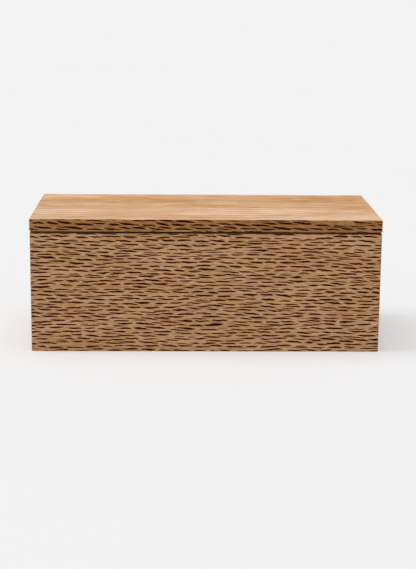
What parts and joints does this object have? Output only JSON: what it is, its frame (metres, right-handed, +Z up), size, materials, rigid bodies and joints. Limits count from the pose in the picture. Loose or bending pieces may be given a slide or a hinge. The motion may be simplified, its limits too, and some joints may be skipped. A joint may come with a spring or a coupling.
{
  "type": "tambour lid box",
  "caption": "Rectangular wooden keepsake box with mitred walls and a lift-off tambour lid of narrow slats on a canvas, which curls open from the front.",
  "frame": {"origin": "middle of the box's footprint, on the surface it stands on", "axes": "+X along the box to its right end, +Y from the front to the back, +Z up"},
  "size_m": [0.3, 0.138, 0.1157],
  "materials": {
    "lid_wood": "oiled, strong ray fleck, planed smooth",
    "wall_wood": "oiled, strong ray fleck",
    "base_wood": "oiled",
    "batten_wood": "oiled",
    "canvas": "dark close-woven cotton canvas",
    "brass": "satin"
  },
  "bodies": {
    "box": {"front_panel": "wall_wood", "back_panel": "wall_wood", "left_end_panel": "wall_wood", "right_end_panel": "wall_wood", "base_panel": "base_wood", "corner_spline_front_left": "wall_wood", "corner_spline_front_right": "wall_wood", "corner_spline_back_left": "wall_wood", "corner_spline_back_right": "wall_wood"},
    "lid_leaf_01": {"slat_01": "lid_wood"},
    "lid_leaf_02": {"slat_02": "lid_wood", "front_locating_batten": "batten_wood", "front_batten_screws": "brass"},
    "lid_leaf_03": {"slat_03": "lid_wood"},
    "lid_leaf_04": {"slat_04": "lid_wood"},
    "lid_leaf_05": {"slat_05": "lid_wood"},
    "lid_leaf_06": {"slat_06": "lid_wood"},
    "lid_leaf_07": {"slat_07": "lid_wood"},
    "lid_leaf_08": {"slat_08": "lid_wood"},
    "lid_leaf_09": {"slat_09": "lid_wood"},
    "lid_leaf_10": {"slat_10": "lid_wood"},
    "lid_leaf_11": {"slat_11": "lid_wood"},
    "lid_leaf_12": {"slat_12": "lid_wood", "rear_locating_batten": "batten_wood", "rear_batten_screws": "brass"},
    "lid_leaf_13": {"slat_13": "lid_wood", "canvas_backing": "canvas"}
  },
  "joints": [
    {"name": "lid_lift", "type": "slide", "parent": "box", "child": "lid_leaf_13", "axis": [0, 0, 1], "range_m": [0, 0.12]},
    {"name": "lid_curl", "type": "hinge", "parent": "lid_leaf_13", "child": "lid_leaf_12", "pos_m": [0, 0.05838, 0.1048], "axis": [-1, 0, 0], "range_deg": [0, 3], "deforming": ["canvas_backing"]},
    {"name": "slat_11_hinge", "type": "hinge", "parent": "lid_leaf_12", "child": "lid_leaf_11", "pos_m": [0, 0.04777, 0.1048], "axis": [-1, 0, 0], "range_deg": [0, 3]},
    {"name": "slat_10_hinge", "type": "hinge", "parent": "lid_leaf_11", "child": "lid_leaf_10", "pos_m": [0, 0.03715, 0.1048], "axis": [-1, 0, 0], "range_deg": [0, 3]},
    {"name": "slat_09_hinge", "type": "hinge", "parent": "lid_leaf_10", "child": "lid_leaf_09", "pos_m": [0, 0.02654, 0.1048], "axis": [-1, 0, 0], "range_deg": [0, 3]},
    {"name": "slat_08_hinge", "type": "hinge", "parent": "lid_leaf_09", "child": "lid_leaf_08", "pos_m": [0, 0.01592, 0.1048], "axis": [-1, 0, 0], "range_deg": [0, 3]},
    {"name": "slat_07_hinge", "type": "hinge", "parent": "lid_leaf_08", "child": "lid_leaf_07", "pos_m": [0, 0.00531, 0.1048], "axis": [-1, 0, 0], "range_deg": [0, 3]},
    {"name": "slat_06_hinge", "type": "hinge", "parent": "lid_leaf_07", "child": "lid_leaf_06", "pos_m": [0, -0.00531, 0.1048], "axis": [-1, 0, 0], "range_deg": [0, 3]},
    {"name": "slat_05_hinge", "type": "hinge", "parent": "lid_leaf_06", "child": "lid_leaf_05", "pos_m": [0, -0.01592, 0.1048], "axis": [-1, 0, 0], "range_deg": [0, 3]},
    {"name": "slat_04_hinge", "type": "hinge", "parent": "lid_leaf_05", "child": "lid_leaf_04", "pos_m": [0, -0.02654, 0.1048], "axis": [-1, 0, 0], "range_deg": [0, 3]},
    {"name": "slat_03_hinge", "type": "hinge", "parent": "lid_leaf_04", "child": "lid_leaf_03", "pos_m": [0, -0.03715, 0.1048], "axis": [-1, 0, 0], "range_deg": [0, 3]},
    {"name": "slat_02_hinge", "type": "hinge", "parent": "lid_leaf_03", "child": "lid_leaf_02", "pos_m": [0, -0.04777, 0.1048], "axis": [-1, 0, 0], "range_deg": [0, 3]},
    {"name": "slat_01_hinge", "type": "hinge", "parent": "lid_leaf_02", "child": "lid_leaf_01", "pos_m": [0, -0.05838, 0.1048], "axis": [-1, 0, 0], "range_deg": [0, 3]}
  ],
  "couplings": [
    {"joint": "slat_11_hinge", "follows": "lid_curl", "ratio": 1},
    {"joint": "slat_10_hinge", "follows": "lid_curl", "ratio": 1},
    {"joint": "slat_09_hinge", "follows": "lid_curl", "ratio": 1},
    {"joint": "slat_08_hinge", "follows": "lid_curl", "ratio": 1},
    {"joint": "slat_07_hinge", "follows": "lid_curl", "ratio": 1},
    {"joint": "slat_06_hinge", "follows": "lid_curl", "ratio": 1},
    {"joint": "slat_05_hinge", "follows": "lid_curl", "ratio": 1},
    {"joint": "slat_04_hinge", "follows": "lid_curl", "ratio": 1},
    {"joint": "slat_03_hinge", "follows": "lid_curl", "ratio": 1},
    {"joint": "slat_02_hinge", "follows": "lid_curl", "ratio": 1},
    {"joint": "slat_01_hinge", "follows": "lid_curl", "ratio": 1}
  ]
}
